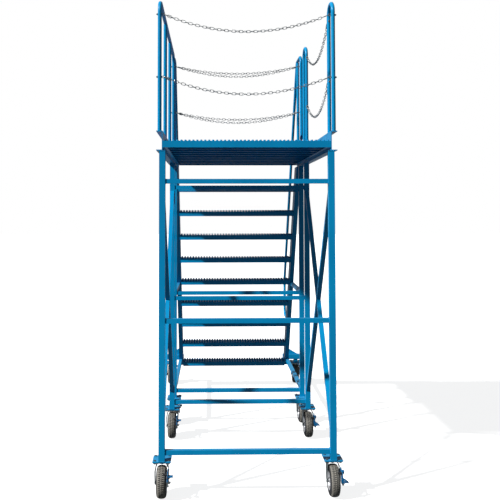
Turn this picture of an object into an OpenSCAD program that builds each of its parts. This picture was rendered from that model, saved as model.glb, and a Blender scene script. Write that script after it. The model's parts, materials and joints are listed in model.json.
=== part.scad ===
// Rolling steel work stand: three upright frames, a decked top with guardrails,
// chain gates and a rear stair, on eight braked swivel casters.
// Millimetres. +Z up, X across, Y front to back. Origin on the floor at the middle
// of the stand. Sizes from front to back are counted from the front frame's face.

/* [Frames] */
// Outer width of each upright frame
frame_width = 1450; // [1200:10:1700]
// Side of the square tube
tube = 50.8; // [40:0.2:60]
// Wall of the square tube
tube_wall = 3.2; // [2:0.1:5]
// Distance from the front frame to the middle frame
middle_y = 1420; // [1000:10:1600]
// Distance from the front frame to the rear frame
rear_y = 1852; // [1650:1:2000]
// Side of the cross rails' square tube
cross = 38.1; // [30:0.1:50.8]
// Wall of the cross rails' square tube
cross_wall = 2.5; // [2:0.1:4]
// Underside of the foot plates above the floor
foot_z = 285; // [280:1:300]
// Side of the foot plates
foot_plate = 150; // [130:1:170]
// How far the plates and casters of the front and middle frames sit behind their posts
foot_back = 50; // [0:1:60]
// Thickness of the foot plates
foot_thick = 10; // [6:1:14]
// Underside of the bottom rails
rail_low_z = 345; // [310:1:400]
// Underside of the mid rails
rail_mid_z = 1404; // [1200:1:1600]
// Underside of the upper rails
rail_high_z = 2549; // [2400:1:2600]

/* [Deck] */
// Underside of the side channels, where the posts end
channel_z = 2821; // [2700:1:2900]
// Height of the side channels
channel_height = 165; // [150:1:180]
// Length of the side channels
deck_length = 2150; // [2050:1:2250]
// Half width to the inner face of the channel web
web_x = 697; // [690:1:700]
// Width of the channel flanges
flange = 52; // [45:1:60]
// Thickness of the channel web
web_thick = 6; // [5:0.5:8]
// Thickness of the channel flanges
flange_thick = 8; // [6:0.5:10]
// Top of the deck planks
deck_top = 2912; // [2880:1:2930]
// Depth of the deck planks
plank_depth = 59; // [40:1:70]
// Number of deck planks
plank_count = 10; // [8:1:12]
// Sheet thickness of planks and treads
sheet = 3; // [2:0.5:4]
// Thickness of the deck edge plates
edge_thick = 6; // [4:1:8]

/* [Side braces] */
// Side of the brace tubes
brace = 38.1; // [30:0.1:45]
// Wall of the brace tubes
brace_wall = 2.5; // [2:0.1:4]
// Height of the lower brace ends on the posts
brace_low_z = 504; // [450:1:700]
// Height of the upper brace ends on the posts
brace_high_z = 2500; // [2350:1:2540]

/* [Guardrails] */
// Outside diameter of the round rails
rail_od = 33.7; // [30:0.1:42.4]
// Wall of the round rails
rail_wall = 3; // [2:0.1:4]
// Height of the centre of the top rail
rail_top_z = 4080; // [4000:5:4150]
// Distance of the rail centre from the middle of the stand
rail_x = 723; // [715:1:730]
// First upright behind the front face
rail_front_y = 18; // [17:1:25]
// Rearmost upright of the long guardrail
rail_rear_y = 2018; // [1950:1:2060]
// Width of the short end loops
loop_width = 200; // [180:1:240]
// Front leg of the rear loop
loop_rear_y = 1556; // [1500:1:1600]
// Bend radius of the rails
bend_radius = 95; // [60:1:99]

/* [Stair] */
// Number of treads below the deck
tread_count = 9; // [8:1:10]
// Rise from tread to tread
riser = 282; // [270:1:290]
// Horizontal step from tread to tread
run = 152; // [140:1:180]
// Top of the lowest tread
tread_low_z = 346; // [330:1:360]
// Front edge of the lowest tread
tread_low_y = 3340; // [3300:1:3400]
// Depth of a tread from front to back
tread_depth = 178; // [150:1:200]
// Height of a tread
tread_height = 57; // [40:1:60]
// Half length of a tread
tread_half = 666; // [640:1:667]
// Depth of the stringer channels
stringer_depth = 150; // [120:1:170]
// Width of the stringer channels across the stand
stringer_width = 50; // [40:1:52]
// Side of the tie tubes between the rear frame and the stair
tie = 38; // [30:1:45]
// Height of the middle of the lower ties
tie_low_z = 367; // [340:1:420]
// Height of the middle of the upper ties
tie_high_z = 1425; // [1380:1:1480]
// Handrail: where the level part turns down
handrail_turn_y = 2330; // [2250:5:2420]
// Handrail: rearmost point
handrail_foot_y = 3790; // [3600:5:3850]
// Handrail: height of its return to the stringer
handrail_return_z = 885; // [800:5:1000]
// First leg of the left handrail
handrail_left_y = 2085; // [2060:1:2120]
// First leg of the right handrail
handrail_right_y = 1990; // [1900:1:2060]

/* [Outrigger] */
// Front face of the outrigger arms
bar_y = 3525; // [3520:1:3560]
// Underside of the outrigger arms
bar_z = 330; // [320:1:360]
// Side of the outrigger arms' square tube
bar = 63.5; // [50.8:0.1:70]
// Distance of the arm ends from the middle
bar_half = 890; // [860:1:920]
// Distance of the stair casters from the middle
bar_caster_x = 840; // [820:1:860]

/* [Casters] */
// Tyre diameter
tyre_d = 254; // [240:1:260]
// Tyre width
tyre_width = 82; // [70:1:84]
// Distance of the axle behind the swivel axis
trail = 45; // [30:1:55]
// Axle diameter
axle_d = 16; // [12:1:20]
// Kingpin diameter
kingpin_d = 20; // [16:1:24]
// Running clearance round pins, measured on the radius
clearance = 0.05; // [0.02:0.01:0.09]

/* [Chains] */
// Height of the upper chains at their ends
chain_high_z = 3960; // [3900:5:4000]
// Height of the lower chains at their ends
chain_low_z = 3435; // [3350:5:3500]
// Radius of the envelope of a chain
chain_radius = 9; // [6:0.5:12]
// Sag of the front chains
sag_front = 145; // [80:5:200]
// Sag of the side chains
sag_side = 200; // [120:5:260]
// Sag of the slacker rear chains
sag_rear = 118; // [80:5:200]
// Sag of the tighter rear chains
sag_rear_short = 82; // [50:5:150]

/* [Hidden] */

// gap left between neighbouring solids that are welded in the real stand
weld = 0.1;
post_x = frame_width / 2 - tube / 2;
post_foot_z = foot_z + foot_thick;
channel_top = channel_z + channel_height;
plank_x = web_x - 7;
plank_low = deck_top - plank_depth;
slope = atan2(riser, run);
tread_mid_y = tread_low_y + tread_depth / 2;
tread_mid_z = tread_low_z - tread_height / 2;
stringer_x = tread_half + 1;
bar_mid_y = bar_y + bar / 2;
rail_r = rail_od / 2;
ends = [-1, 1];

// middle of the stand from front to back, between the tyres and the handrail ends
stand_mid_y = (tube / 2 + foot_back - trail - tyre_d / 2 + handrail_foot_y + rail_r) / 2;

blue = "#0078b4";
zinc = "#b4b6ba";
black = "#26262a";
silver = "#c6c8cc";

// caster positions: x, y, and +1 where the wheel trails to the rear, -1 to the front
front_left = [-post_x, tube / 2 + foot_back, -1];
front_right = [post_x, tube / 2 + foot_back, -1];
middle_left = [-post_x, middle_y + tube / 2 + foot_back, -1];
middle_right = [post_x, middle_y + tube / 2 + foot_back, -1];
rear_left = [-post_x, rear_y + tube / 2, 1];
rear_right = [post_x, rear_y + tube / 2, 1];
stair_left = [-bar_caster_x, bar_mid_y, 1];
stair_right = [bar_caster_x, bar_mid_y, 1];
casters = [front_left, front_right, middle_left, middle_right,
    rear_left, rear_right, stair_left, stair_right];

// ---------- shared shapes ----------

// square tube standing on z = 0, centred on the axis
module square_tube(side, wall, length) {
    linear_extrude(length) difference() {
        square(side, center = true);
        square(side - 2 * wall, center = true);
    }
}

// tube across the stand, centred on x = 0
module cross_tube(side, wall, length) {
    translate([-length / 2, 0, 0]) rotate([0, 90, 0]) square_tube(side, wall, length);
}

// hexagon head lying on z = 0
module hex_head(across, height) {
    linear_extrude(height) circle(d = across / cos(30), $fn = 6);
}

// straight round rail between two points of a plane front to back
module rail_straight(a, b) {
    length = norm(b - a);
    translate([0, a[0], a[1]])
    rotate([-atan2(b[0] - a[0], b[1] - a[1]), 0, 0])
    translate([0, 0, weld / 2]) difference() {
        cylinder(h = length - weld, r = rail_r, $fn = 16);
        translate([0, 0, -1]) cylinder(h = length + 2, r = rail_r - rail_wall, $fn = 16);
    }
}

// part of a turn about a centre in that plane, from one angle to another
module rail_turn(centre, radius, from, sweep) {
    translate([0, centre[0], centre[1]]) rotate([90, 0, 90]) rotate([0, 0, from])
    rotate_extrude(angle = sweep, $fn = 24) translate([radius, 0])
    circle(r = rail_r, $fn = 16);
}

function heading(a, b) = atan2(b[1] - a[1], b[0] - a[0]);
function along(angle) = [cos(angle), sin(angle)];
function bend_of(p, i) = (heading(p[i - 1], p[i]) - heading(p[i], p[i + 1]) + 360) % 360;
function cut_back(p, i, r) = i < 1 || i > len(p) - 2 ? 0 : r * tan(bend_of(p, i) / 2);

// bent rail through a list of corners, turning clockwise at each
module bent_rail(p, r) {
    for (i = [0 : len(p) - 2])
        rail_straight(p[i] + cut_back(p, i, r) * along(heading(p[i], p[i + 1])),
            p[i + 1] - cut_back(p, i + 1, r) * along(heading(p[i], p[i + 1])));
    for (i = [1 : len(p) - 2])
        rail_turn(p[i] - cut_back(p, i, r) * along(heading(p[i - 1], p[i]))
            + r * along(heading(p[i - 1], p[i]) - 90), r,
            heading(p[i - 1], p[i]) + 90 - bend_of(p, i), bend_of(p, i));
}

// inverted pan: a top sheet over a lip at the front and one at the rear
module pan(half, depth, height) {
    translate([-half, 0, height - sheet]) cube([2 * half, depth, sheet]);
    for (y = [0, depth - sheet])
        translate([-half, y, 0]) cube([2 * half, sheet, height - sheet - weld]);
}

// channel profile open toward +x, from the web face outward
module channel_profile(width, height, web, lip) {
    difference() {
        square([width, height]);
        translate([web, lip]) square([width - web + 1, height - 2 * lip]);
    }
}

// ---------- frames ----------

module upright_frame(y) {
    for (s = ends)
        translate([s * post_x, y + tube / 2, post_foot_z + weld])
        square_tube(tube, tube_wall, channel_z - post_foot_z - 2 * weld);
    for (z = [rail_low_z, rail_mid_z, rail_high_z])
        translate([0, y + tube / 2, z + cross / 2])
        cross_tube(cross, cross_wall, frame_width - 2 * tube - 2 * weld);
}

module front_frame() { color(blue) upright_frame(0); }
module middle_frame() { color(blue) upright_frame(middle_y); }
module rear_frame() { color(blue) upright_frame(rear_y); }

module foot_plates() {
    color(blue) for (c = casters)
        translate([c[0] - foot_plate / 2, c[1] - foot_plate / 2, foot_z])
        cube([foot_plate, foot_plate, foot_thick]);
}

// ---------- braces ----------

brace_rise = brace_high_z - brace_low_z;
brace_span = middle_y - tube;
brace_angle = atan2(brace_rise, brace_span);
brace_length = norm([brace_rise, brace_span]) + 2 * brace;

// square bar or tube through the middle of a side, rising to the rear
module brace_bar(side, hollow) {
    rotate([brace_angle - 90, 0, 0]) translate([0, 0, -brace_length / 2])
    if (hollow) square_tube(side, brace_wall, brace_length);
    else translate([-side / 2, -side / 2, 0]) cube([side, side, brace_length]);
}

// one tube whole, the other in two lengths against it, all cut to the posts
module brace_pair(side) {
    translate([side * post_x, (tube + middle_y) / 2, (brace_low_z + brace_high_z) / 2])
    intersection() {
        union() {
            brace_bar(brace, true);
            difference() {
                mirror([0, 1, 0]) brace_bar(brace, true);
                brace_bar(brace + 2 * weld, false);
            }
        }
        translate([-brace, weld - brace_span / 2, -brace_rise])
        cube([2 * brace, brace_span - 2 * weld, 2 * brace_rise]);
    }
}

module side_braces_left() { color(blue) brace_pair(-1); }
module side_braces_right() { color(blue) brace_pair(1); }

// heads above and nuts below the corners of every foot plate
module frame_bolts() {
    color(zinc) for (c = casters, sx = ends, sy = ends) {
        translate([c[0] + sx * 56, c[1] + sy * 56, foot_z + foot_thick + weld])
        hex_head(17, 7);
        translate([c[0] + sx * 56, c[1] + sy * 56, foot_z - 6 - 8 - weld])
        hex_head(17, 8);
    }
}

// ---------- deck ----------

module side_channel(side) {
    mirror([side < 0 ? 1 : 0, 0, 0])
    translate([web_x, deck_length, channel_z]) rotate([90, 0, 0])
    linear_extrude(deck_length) channel_profile(flange, channel_height, web_thick, flange_thick);
}

module side_channel_left() { color(blue) side_channel(-1); }
module side_channel_right() { color(blue) side_channel(1); }

module deck_edge_plates() {
    color(blue) for (y = [0, deck_length - edge_thick])
        translate([-web_x + weld, y, plank_low - 6])
        cube([2 * (web_x - weld), edge_thick, plank_depth - 4]);
}

plank_pitch = (deck_length - 2 * edge_thick - 1) / plank_count;

module deck_planks() {
    color(blue) for (i = [0 : plank_count - 1])
        translate([0, edge_thick + 0.5 + i * plank_pitch + 0.5, plank_low + weld])
        pan(plank_x, plank_pitch - 1, plank_depth - weld);
}

// angles along the channel webs that carry the plank ends
module deck_ledges() {
    color(blue) for (s = ends) mirror([s < 0 ? 1 : 0, 0, 0])
        translate([web_x - weld, deck_length - edge_thick - 1, plank_low]) rotate([90, 0, 0])
        linear_extrude(deck_length - 2 * edge_thick - 2)
        polygon([[0, 0], [-40, 0], [-40, -6], [-6, -6], [-6, -32], [0, -32]]);
}

// ---------- guardrails ----------

rail_base = channel_top + weld;

module guardrail_left() {
    color(blue) translate([-rail_x, 0, 0]) {
        bent_rail([[rail_front_y, rail_base], [rail_front_y, rail_top_z],
            [rail_rear_y, rail_top_z], [rail_rear_y, rail_base]], bend_radius);
        for (k = [1, 2])
            rail_straight([rail_front_y + k * (rail_rear_y - rail_front_y) / 3, rail_base],
                [rail_front_y + k * (rail_rear_y - rail_front_y) / 3, rail_top_z - rail_r]);
    }
}

module end_loop(y) {
    translate([rail_x, 0, 0])
    bent_rail([[y, rail_base], [y, rail_top_z], [y + loop_width, rail_top_z],
        [y + loop_width, rail_base]], bend_radius);
}

module guardrail_front_right() { color(blue) end_loop(rail_front_y); }
module guardrail_rear_right() { color(blue) end_loop(loop_rear_y); }

// ---------- stair ----------

// puts a shape built along z on the line of the stringers, z = 0 at the lowest tread
module on_slope() {
    translate([0, tread_mid_y, tread_mid_z]) rotate([90 - slope, 0, 0]) children();
}

// solid outline of a stringer, for cutting the pieces that meet it
module stringer_block() {
    on_slope() translate([0, -stringer_depth / 2 - weld, -200])
    cube([900, stringer_depth + 2 * weld, 3600]);
}

module stringer() {
    intersection() {
        on_slope() translate([stringer_x, 0, -200]) linear_extrude(3600)
        translate([0, -stringer_depth / 2])
        channel_profile(stringer_width, stringer_depth, web_thick, flange_thick);
        translate([0, 1500, post_foot_z + 5]) cube([900, 2500, channel_z - weld - post_foot_z - 5]);
    }
}

module stair_stringer_left() { color(blue) mirror([1, 0, 0]) stringer(); }
module stair_stringer_right() { color(blue) stringer(); }

module stair_treads() {
    color(blue) for (i = [0 : tread_count - 1])
        translate([0, tread_low_y - i * run, tread_low_z - tread_height + i * riser])
        pan(tread_half, tread_depth, tread_height);
}

module tread_bolts() {
    color(zinc) for (s = ends, i = [0 : tread_count - 1], d = [-1, 1])
        mirror([s < 0 ? 1 : 0, 0, 0])
        translate([stringer_x + web_thick + weld,
            tread_mid_y - i * run + d * 38, tread_mid_z + i * riser])
        rotate([0, 90, 0]) hex_head(17, 7);
}

module handrail(first_y) {
    slope_drop = (handrail_foot_y - handrail_turn_y) * tan(slope);
    difference() {
        translate([rail_x, 0, 0]) {
            bent_rail([[first_y, rail_base], [first_y, rail_top_z],
                [handrail_turn_y, rail_top_z], [handrail_foot_y, rail_top_z - slope_drop],
                [handrail_foot_y, handrail_return_z], [3150, handrail_return_z]], 80);
            rail_straight([handrail_turn_y - 60, 2400],
                [handrail_turn_y - 60, rail_top_z - rail_r]);
        }
        stringer_block();
    }
}

module handrail_left() { color(blue) mirror([1, 0, 0]) handrail(handrail_left_y); }
module handrail_right() { color(blue) handrail(handrail_right_y); }

// tubes from the rear frame posts back to the stringers
module stair_tie_rails() {
    color(blue) for (s = ends) mirror([s < 0 ? 1 : 0, 0, 0])
        for (z = [tie_low_z, tie_high_z])
            difference() {
                translate([post_x, rear_y + tube + weld, z]) rotate([-90, 0, 0])
                square_tube(tie, 2.5, 1450);
                stringer_block();
                on_slope() translate([0, stringer_depth / 2 - 20, -400]) cube([900, 2000, 3800]);
            }
}

// arms outward behind the stringer feet, with stubs down to their casters
module outrigger_bar() {
    color(blue) {
        for (s = ends) {
            translate([s * (stringer_x + bar_half) / 2, bar_mid_y, bar_z + bar / 2])
            cross_tube(bar, tube_wall, bar_half - stringer_x);
            translate([s * bar_caster_x, bar_mid_y, post_foot_z + weld])
            square_tube(tube, tube_wall, bar_z - post_foot_z - 2 * weld);
            // plate closing the gap to the stringer foot
            mirror([s < 0 ? 1 : 0, 0, 0]) difference() {
                translate([stringer_x + 20, bar_y - 70, bar_z]) cube([10, 70 - weld, bar]);
                stringer_block();
            }
            // upright gusset on the end of the bar, against the stringer side
            mirror([s < 0 ? 1 : 0, 0, 0])
            translate([stringer_x + stringer_width + 2, bar_mid_y + 4, bar_z + bar + weld])
            rotate([90, 0, 0]) linear_extrude(8) polygon([[0, 0], [150, 0], [0, 90]]);
        }
    }
}

// ---------- casters ----------

race_z = foot_z - 6;
crown_top = foot_z - 15;
crown_low = crown_top - 10;
wheel_z = tyre_d / 2;
fork_inner = 44;
fork_outer = 50;
seat_r = 65;
pivot = [62, 228];
shoe = [150.5, 222];
shoe_in = 14;

// puts a part built about the swivel axis at a caster
module at_caster(c) {
    translate([c[0], c[1], 0]) mirror([0, c[2] < 0 ? 1 : 0, 0]) children();
}

// plate bolted under a foot plate, with the race boss, kingpin and its nut
module caster_top_plates() {
    color(zinc) for (c = casters) translate([c[0], c[1], 0]) {
        translate([-70, -70, race_z]) cube([140, 140, 6 - weld]);
        translate([0, 0, crown_top + 0.5]) cylinder(h = race_z - crown_top - 0.5, d = 64, $fn = 24);
        translate([0, 0, 254]) cylinder(h = race_z - 254, d = kingpin_d, $fn = 20);
        translate([0, 0, 254]) cylinder(h = 5.5, d = 30, $fn = 20);
    }
}

module fork_leg() {
    rotate([90, 0, 90]) linear_extrude(fork_outer - fork_inner) {
        polygon([[-30, crown_low + 1], [75, crown_low + 1], [75, 212], [67, 127], [23, 127],
            [-30, 226]]);
        translate([trail, wheel_z]) circle(r = 22, $fn = 24);
    }
}

// crown plate, two legs, the axle with its nuts, and the brake pivot pin
module fork() {
    color(zinc) {
        translate([0, 0, crown_low]) linear_extrude(crown_top - crown_low) difference() {
            translate([-fork_outer, -38]) square([2 * fork_outer, 96]);
            circle(d = kingpin_d + 2 * clearance, $fn = 20);
        }
        translate([fork_inner, 0, 0]) fork_leg();
        translate([-fork_outer, 0, 0]) fork_leg();
        translate([-fork_outer, trail, wheel_z]) rotate([0, 90, 0])
        cylinder(h = 2 * fork_outer, d = axle_d, $fn = 20);
        translate([fork_outer, trail, wheel_z]) rotate([0, 90, 0]) hex_head(24, 9);
        translate([-fork_outer, trail, wheel_z]) rotate([0, -90, 0]) hex_head(24, 9);
        translate([fork_outer - 1, pivot[0], pivot[1]]) rotate([0, 90, 0])
        cylinder(h = 9, d = 10, $fn = 16);
        translate([fork_outer + 8, pivot[0], pivot[1]]) rotate([0, 90, 0]) hex_head(17, 5);
    }
}

// pressed wheel: hub, web and barrel in one section
module rim() {
    hub = 43;
    bore = axle_d / 2 + clearance;
    seat = seat_r - 0.05;
    color(silver) translate([0, trail, wheel_z]) rotate([0, 90, 0]) rotate_extrude($fn = 24)
    polygon([[bore, -hub], [22, -hub], [22, -6], [57, -6], [57, -37], [seat, -37],
        [seat, 37], [57, 37], [57, 6], [22, 6], [22, hub], [bore, hub]]);
}

// tyre section with its air space open to the barrel
module tyre() {
    half = tyre_width / 2;
    radius = tyre_d / 2;
    color(black) translate([0, trail, wheel_z]) rotate([0, 90, 0]) rotate_extrude($fn = 24)
    polygon([[seat_r, -half + 5], [seat_r + 30, -half], [radius - 9, -half + 4],
        [radius, -half + 17], [radius, half - 17], [radius - 9, half - 4],
        [seat_r + 30, half], [seat_r, half - 5], [seat_r, half - 17],
        [radius - 16, half - 12], [radius - 16, 12 - half], [seat_r, 17 - half]]);
}

// lever beside the fork with a foot pedal, a tail and a short shoe behind the tyre
module brake() {
    color(blue) {
        translate([fork_outer + 1, 0, 0]) rotate([90, 0, 90]) linear_extrude(6) difference() {
            polygon([[50, 216], [74, 214], [128, 208], [130, 140], [146, 140], [152, 196],
                [168, 200], [168, 230], [74, 240], [50, 240]]);
            translate(pivot) circle(d = 10 + 2 * clearance, $fn = 16);
        }
        translate([shoe_in, shoe[0], shoe[1]]) rotate([0, 90, 0])
        cylinder(h = fork_outer + 2 - shoe_in, r = 8, $fn = 16);
        translate([fork_outer + 6, 132, 200]) cube([48, 44, 6]);
    }
}

// ---------- chains ----------

chain_rings = 9;
chain_sides = 8;
eye_reach = 30;

function hang(u, sag) = -4 * sag * u * (1 - u);
function hang_slope(u, sag, span) = atan2(-4 * sag * (1 - 2 * u), span);

// slack chain along x as a round envelope, ends level, lowest in the middle
module slack(span, sag) {
    points = [for (k = [0 : chain_rings], j = [0 : chain_sides - 1])
        let (u = k / chain_rings, t = hang_slope(u, sag, span), a = 360 * j / chain_sides)
        [span * (u - 0.5) - chain_radius * sin(a) * sin(t), chain_radius * cos(a),
            hang(u, sag) + chain_radius * sin(a) * cos(t)]];
    sides = [for (k = [0 : chain_rings - 1], j = [0 : chain_sides - 1])
        let (n = (j + 1) % chain_sides)
        [k * chain_sides + j, k * chain_sides + n, (k + 1) * chain_sides + n,
            (k + 1) * chain_sides + j]];
    first = [for (j = [0 : chain_sides - 1]) chain_sides - 1 - j];
    last = [for (j = [0 : chain_sides - 1]) chain_rings * chain_sides + j];
    polyhedron(points, concat(sides, [first, last]), convexity = 4);
}

chain_end_x = rail_x - rail_r - eye_reach - 4;
side_y0 = rail_front_y + loop_width;
side_span = loop_rear_y - side_y0 - 2 * (rail_r + eye_reach + 4);

module chains_front() {
    color(zinc) for (z = [chain_low_z, chain_high_z])
        translate([0, rail_front_y, z]) slack(2 * chain_end_x, sag_front);
}

module chains_side() {
    color(zinc) for (z = [chain_low_z, chain_high_z])
        translate([rail_x, (side_y0 + loop_rear_y) / 2, z]) rotate([0, 0, 90])
        slack(side_span, sag_side);
}

rear_turn = atan2(handrail_right_y - rail_rear_y, 2 * rail_x);

module chains_rear() {
    color(zinc) translate([0, (handrail_right_y + rail_rear_y) / 2, 0]) rotate([0, 0, rear_turn])
    for (z = [chain_low_z, chain_high_z]) {
        translate([0, -12, z]) slack(2 * chain_end_x, sag_rear);
        translate([0, 12, z]) slack(2 * chain_end_x, sag_rear_short);
    }
}

// eye bolt at a rail, pointing along +x: ring and shank inside, nut outside
module eye_bolt() {
    translate([rail_r + weld, 0, 0]) rotate([0, 90, 0]) cylinder(h = 6, d = 9, $fn = 14);
    translate([rail_r + weld + 13, 3.5, 0]) rotate([90, 0, 0]) linear_extrude(7) difference() {
        circle(r = 12, $fn = 16);
        circle(r = 6.5, $fn = 16);
    }
    translate([-rail_r - weld, 0, 0]) rotate([0, -90, 0]) hex_head(15, 8);
}

module chain_hardware() {
    color(zinc) for (z = [chain_low_z, chain_high_z]) {
        translate([-rail_x, rail_front_y, z]) eye_bolt();
        translate([rail_x, rail_front_y, z]) rotate([0, 0, 180]) eye_bolt();
        translate([rail_x, side_y0, z]) rotate([0, 0, 90]) eye_bolt();
        translate([rail_x, loop_rear_y, z]) rotate([0, 0, -90]) eye_bolt();
        translate([-rail_x, rail_rear_y, z]) rotate([0, 0, rear_turn]) eye_bolt();
        translate([rail_x, handrail_right_y, z]) rotate([0, 0, 180 + rear_turn]) eye_bolt();
    }
}

// ---------- drawing ----------

module placed() {
    translate([0, -stand_mid_y, 0]) children();
}

placed() front_frame();
placed() middle_frame();
placed() rear_frame();
placed() foot_plates();
placed() side_channel_left();
placed() side_channel_right();
placed() deck_edge_plates();
placed() deck_planks();
placed() deck_ledges();
placed() side_braces_left();
placed() side_braces_right();
placed() frame_bolts();
placed() guardrail_left();
placed() guardrail_front_right();
placed() guardrail_rear_right();
placed() stair_stringer_left();
placed() stair_stringer_right();
placed() stair_treads();
placed() tread_bolts();
placed() handrail_left();
placed() handrail_right();
placed() stair_tie_rails();
placed() outrigger_bar();
placed() caster_top_plates();
placed() chains_front();
placed() chains_side();
placed() chains_rear();
placed() chain_hardware();
placed() at_caster(front_left) fork();  // fork_front_left
placed() at_caster(front_left) rim();  // rim_front_left
placed() at_caster(front_left) tyre();  // tyre_front_left
placed() at_caster(front_left) brake();  // brake_front_left
placed() at_caster(front_right) fork();  // fork_front_right
placed() at_caster(front_right) rim();  // rim_front_right
placed() at_caster(front_right) tyre();  // tyre_front_right
placed() at_caster(front_right) brake();  // brake_front_right
placed() at_caster(middle_left) fork();  // fork_middle_left
placed() at_caster(middle_left) rim();  // rim_middle_left
placed() at_caster(middle_left) tyre();  // tyre_middle_left
placed() at_caster(middle_left) brake();  // brake_middle_left
placed() at_caster(middle_right) fork();  // fork_middle_right
placed() at_caster(middle_right) rim();  // rim_middle_right
placed() at_caster(middle_right) tyre();  // tyre_middle_right
placed() at_caster(middle_right) brake();  // brake_middle_right
placed() at_caster(rear_left) fork();  // fork_rear_left
placed() at_caster(rear_left) rim();  // rim_rear_left
placed() at_caster(rear_left) tyre();  // tyre_rear_left
placed() at_caster(rear_left) brake();  // brake_rear_left
placed() at_caster(rear_right) fork();  // fork_rear_right
placed() at_caster(rear_right) rim();  // rim_rear_right
placed() at_caster(rear_right) tyre();  // tyre_rear_right
placed() at_caster(rear_right) brake();  // brake_rear_right
placed() at_caster(stair_left) fork();  // fork_stair_left
placed() at_caster(stair_left) rim();  // rim_stair_left
placed() at_caster(stair_left) tyre();  // tyre_stair_left
placed() at_caster(stair_left) brake();  // brake_stair_left
placed() at_caster(stair_right) fork();  // fork_stair_right
placed() at_caster(stair_right) rim();  // rim_stair_right
placed() at_caster(stair_right) tyre();  // tyre_stair_right
placed() at_caster(stair_right) brake();  // brake_stair_right
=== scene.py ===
import json
import math
import random

import bmesh
import bpy
from mathutils import Matrix, Vector


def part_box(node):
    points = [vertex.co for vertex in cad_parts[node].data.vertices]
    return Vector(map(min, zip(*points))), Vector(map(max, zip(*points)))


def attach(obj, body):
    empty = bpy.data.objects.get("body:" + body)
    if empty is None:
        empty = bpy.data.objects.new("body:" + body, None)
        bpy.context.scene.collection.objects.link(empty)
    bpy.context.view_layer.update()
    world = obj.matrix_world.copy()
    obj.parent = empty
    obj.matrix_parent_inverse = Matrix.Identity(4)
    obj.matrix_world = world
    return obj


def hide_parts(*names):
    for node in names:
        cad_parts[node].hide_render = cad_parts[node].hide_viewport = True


# Rolling work stand in blue enamel: square tube frames, a grip plank deck, round
# guardrails with chain gates, a rear stair and eight braked pneumatic casters.
# Shapes are worked out in millimetres and turned to metres when a piece is made.

MM = 0.001

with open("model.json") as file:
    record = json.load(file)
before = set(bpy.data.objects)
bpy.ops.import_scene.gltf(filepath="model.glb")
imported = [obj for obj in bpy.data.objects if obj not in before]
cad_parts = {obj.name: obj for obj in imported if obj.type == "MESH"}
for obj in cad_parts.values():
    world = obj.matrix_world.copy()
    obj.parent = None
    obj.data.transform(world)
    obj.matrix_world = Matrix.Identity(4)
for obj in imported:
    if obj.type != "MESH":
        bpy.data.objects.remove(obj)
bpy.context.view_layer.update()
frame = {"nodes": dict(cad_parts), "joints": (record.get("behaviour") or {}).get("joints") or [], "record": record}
nodes = frame["nodes"]
joints = {j["name"]: j for j in frame["joints"]}
random.seed(7)


def box_mm(node):
    """Lowest and highest corner of a CAD node in millimetres."""
    low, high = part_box(node)
    return low / MM, high / MM


# ---------------------------------------------------------------- sizes, mm

TUBE = 50.8
CROSS_RAIL = 38.1
CROSS_RAIL_FEET = (345, 1404, 2549)     # underside of each cross rail
RAIL_R = 16.85
PLANKS = 10
PLANK_GAP = 1
PLANK_ROWS = 6        # rows of teeth on a plank
TREADS = 9
TREAD_ROWS = 5
TREAD_DEPTH = 178
TREAD_HEIGHT = 57
SHEET = 3
PROUD = 14            # how far the teeth of a tread stand above the plain pan
DECK_PROUD = 2        # the same on the deck planks
TOOTH = 18            # height of the raised grip teeth above the sheet
GRIP_PITCH = 33       # from tooth to tooth across the stand
LINK_PITCH = 30
LINK_WIDTH = 19
LINK_WIRE = 2.3       # radius
CHAIN_R = 9           # of the envelope that a chain has in the CAD
CHAIN_STEPS = 80      # stretches in a chain's hanging line
SHORTER_SAG = 0.69    # of the stair gate's second chain, as a share of the first
CHAINS_ASIDE = 5      # how far those two stand off the straight line between the rails
SNAP_LENGTH = 58
SNAP_WIDTH = 21
SNAP_HOLD = 8         # how far the first chain link reaches into the snap link
EYE_R = 9.25
EYE_WIRE = 2.75       # radius in the CAD; the ring drawn here is EYE_SLIM thinner
EYE_SLIM = 0.05
EYE_OUT = 13.1        # from the rail's surface to the middle of the eye
EYE_HOLD = 4          # how far a snap link's end lies inside the eye's rim
BEAD_STEP = 5
LUGS = 52             # tread blocks round each shoulder of a tyre
CROWN_R = 123.2       # tyre carcass under the middle of the tread
SHOULDER_X, SHOULDER_R = 20, 121.2

deck_low, deck_high = box_mm("deck_planks")
tread_low, tread_high = box_mm("stair_treads")
front_y = box_mm("deck_edge_plates")[0].y
channel_top = box_mm("side_channel_left")[1].z
rail_x = -box_mm("guardrail_left")[0].x - RAIL_R


# ---------------------------------------------------------------- shapes

def joined(*shapes):
    """One shape out of several; a shape is (points, faces)."""
    points, faces = [], []
    for p, f in shapes:
        faces += [[i + len(points) for i in face] for face in f]
        points += p
    return points, faces


def moved(shape, matrix):
    return [matrix @ Vector(p) for p in shape[0]], shape[1]


def shifted(shape, x, y, z):
    return moved(shape, Matrix.Translation((x, y, z)))


def mirrored(line):
    """The same stations on the other side of x = 0, in running order."""
    return [(-x, *rest) for x, *rest in reversed(line)]


def walls(rings, per_ring, wrap=False):
    """Quads between successive rings of points; wrap joins the last ring to the first."""
    faces = []
    for i in range(rings if wrap else rings - 1):
        j = (i + 1) % rings
        for k in range(per_ring):
            m = (k + 1) % per_ring
            faces.append([i * per_ring + k, i * per_ring + m, j * per_ring + m,
                          j * per_ring + k])
    return faces


def block(low, high):
    """Box between two corners."""
    (x0, y0, z0), (x1, y1, z1) = low, high
    points = [Vector((x, y, z)) for z in (z0, z1) for y in (y0, y1) for x in (x0, x1)]
    return points, [[0, 2, 3, 1], [4, 5, 7, 6], [0, 1, 5, 4],
                    [2, 6, 7, 3], [0, 4, 6, 2], [1, 3, 7, 5]]


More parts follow.
